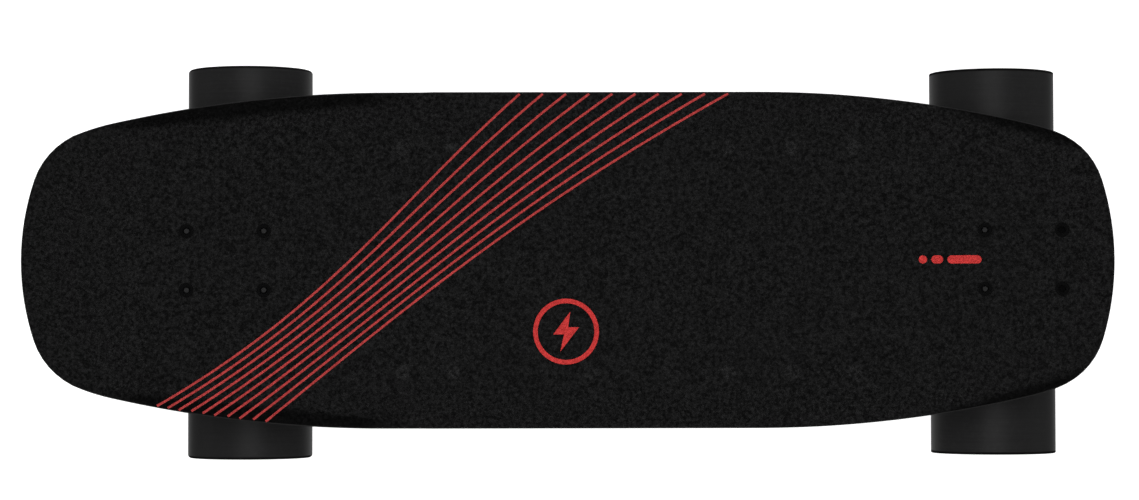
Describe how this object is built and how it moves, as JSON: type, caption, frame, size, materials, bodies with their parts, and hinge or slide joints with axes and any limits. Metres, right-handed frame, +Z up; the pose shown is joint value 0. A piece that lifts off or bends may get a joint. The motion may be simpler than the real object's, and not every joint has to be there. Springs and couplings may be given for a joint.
{
  "type": "electric skateboard",
  "caption": "Kicktail electric skateboard with hub-motor rear wheels, two reverse-kingpin trucks that lean to steer, and a sealed battery enclosure under the deck.",
  "frame": {"origin": "on the ground under the middle of the deck's length and width", "axes": "+X to the nose, the end away from the kicktail and the motors; +Y to the rider's left when facing the nose; +Z up"},
  "size_m": [0.762, 0.2816, 0.1534],
  "materials": {
    "carbon_deck": "satin",
    "grip": "matte grit",
    "riser_rubber": "matte",
    "cast_black": "satin powder coat",
    "pivot_urethane": "satin",
    "zinc_steel": "satin",
    "black_steel": "black oxide",
    "bushing_urethane": "satin",
    "tray_plastic": "moulded texture",
    "gasket_rubber": "matte",
    "brass_insert": "knurled",
    "cell_wrap": "shrink wrap",
    "holder_plastic": "matte",
    "nickel": "bright",
    "green_board": "solder mask",
    "blue_board": "solder mask",
    "heat_sink": "anodised",
    "capacitor_sleeve": "sleeve",
    "bezel_metal": "brushed",
    "button_plastic": "satin",
    "socket_plastic": "satin",
    "cap_rubber": "matte",
    "lens": "diffuse",
    "lead_red": "silicone",
    "cable_black": "braided sleeve",
    "gland_plastic": "satin",
    "tyre_urethane": "satin",
    "core_plastic": "satin",
    "bearing_steel": "ground",
    "motor_metal": "satin anodised",
    "magnet": "nickel plated",
    "stator_steel": "laminated",
    "copper": "enamelled"
  },
  "bodies": {
    "board": {"deck": "carbon_deck", "grip_tape": "grip", "riser_pads": "riser_rubber", "front_baseplate": "cast_black", "rear_baseplate": "cast_black", "pivot_cups": "pivot_urethane", "kingpins": "zinc_steel", "kingpin_nuts": "zinc_steel", "kingpin_washers": "zinc_steel", "front_bushings": "bushing_urethane", "rear_bushings": "bushing_urethane", "truck_bolts": "black_steel", "truck_nuts": "zinc_steel", "enclosure_tray": "tray_plastic", "enclosure_gasket": "gasket_rubber", "enclosure_screws": "black_steel", "enclosure_inserts": "brass_insert", "battery_cells": "cell_wrap", "cell_holders": "holder_plastic", "nickel_strips": "nickel", "battery_board": "green_board", "esc_board": "blue_board", "esc_heat_sink": "heat_sink", "esc_capacitors": "capacitor_sleeve", "power_button_bezel": "bezel_metal", "power_switch": "socket_plastic", "charge_socket": "socket_plastic", "status_light_lens": "lens", "battery_lead": "lead_red", "cable_glands": "gland_plastic", "left_motor_cable": "cable_black", "right_motor_cable": "cable_black"},
    "front_truck_hanger": {"front_hanger": "cast_black", "front_axle": "zinc_steel", "front_speed_washers": "zinc_steel", "front_axle_nuts": "zinc_steel"},
    "rear_truck_hanger": {"rear_hanger": "cast_black", "motor_axles": "zinc_steel", "motor_stators": "stator_steel", "motor_windings": "copper", "rear_axle_nuts": "zinc_steel", "cable_clips": "zinc_steel"},
    "front_left_wheel": {"front_left_tyre": "tyre_urethane", "front_left_core": "core_plastic", "front_left_bearings": "bearing_steel"},
    "front_right_wheel": {"front_right_tyre": "tyre_urethane", "front_right_core": "core_plastic", "front_right_bearings": "bearing_steel"},
    "rear_left_wheel": {"rear_left_tyre": "tyre_urethane", "rear_left_motor_can": "motor_metal", "rear_left_magnets": "magnet", "rear_left_motor_cover": "motor_metal", "rear_left_bearings": "bearing_steel"},
    "rear_right_wheel": {"rear_right_tyre": "tyre_urethane", "rear_right_motor_can": "motor_metal", "rear_right_magnets": "magnet", "rear_right_motor_cover": "motor_metal", "rear_right_bearings": "bearing_steel"},
    "power_button": {"power_button": "button_plastic"},
    "charge_cap": {"charge_cap": "cap_rubber"}
  },
  "joints": [
    {"name": "front_steer", "type": "hinge", "parent": "board", "child": "front_truck_hanger", "pos_m": [0.2839, 0, 0.038], "axis": [0.7071, 0, 0.7071], "range_deg": [-15, 15], "stiffness_Nm_per_rad": 40, "deforming": ["front_bushings"]},
    {"name": "rear_steer", "type": "hinge", "parent": "board", "child": "rear_truck_hanger", "pos_m": [-0.2087, 0, 0.038], "axis": [-0.7071, 0, 0.7071], "range_deg": [-15, 15], "stiffness_Nm_per_rad": 40, "deforming": ["rear_bushings", "left_motor_cable", "right_motor_cable"]},
    {"name": "front_left_spin", "type": "hinge", "parent": "front_truck_hanger", "child": "front_left_wheel", "pos_m": [0.3079, 0, 0.045], "axis": [0, 1, 0], "continuous": true},
    {"name": "front_right_spin", "type": "hinge", "parent": "front_truck_hanger", "child": "front_right_wheel", "pos_m": [0.3079, 0, 0.045], "axis": [0, 1, 0], "continuous": true},
    {"name": "rear_left_spin", "type": "hinge", "parent": "rear_truck_hanger", "child": "rear_left_wheel", "pos_m": [-0.2327, 0, 0.045], "axis": [0, 1, 0], "continuous": true},
    {"name": "rear_right_spin", "type": "hinge", "parent": "rear_truck_hanger", "child": "rear_right_wheel", "pos_m": [-0.2327, 0, 0.045], "axis": [0, 1, 0], "continuous": true},
    {"name": "power_button_press", "type": "slide", "parent": "board", "child": "power_button", "axis": [0, 1, 0], "range_m": [0, 0.0015], "stiffness_N_per_m": 1500},
    {"name": "charge_cap_hinge", "type": "hinge", "parent": "board", "child": "charge_cap", "pos_m": [0.1445, -0.0759, 0.102], "axis": [0, 0, -1], "range_deg": [0, 120]}
  ]
}
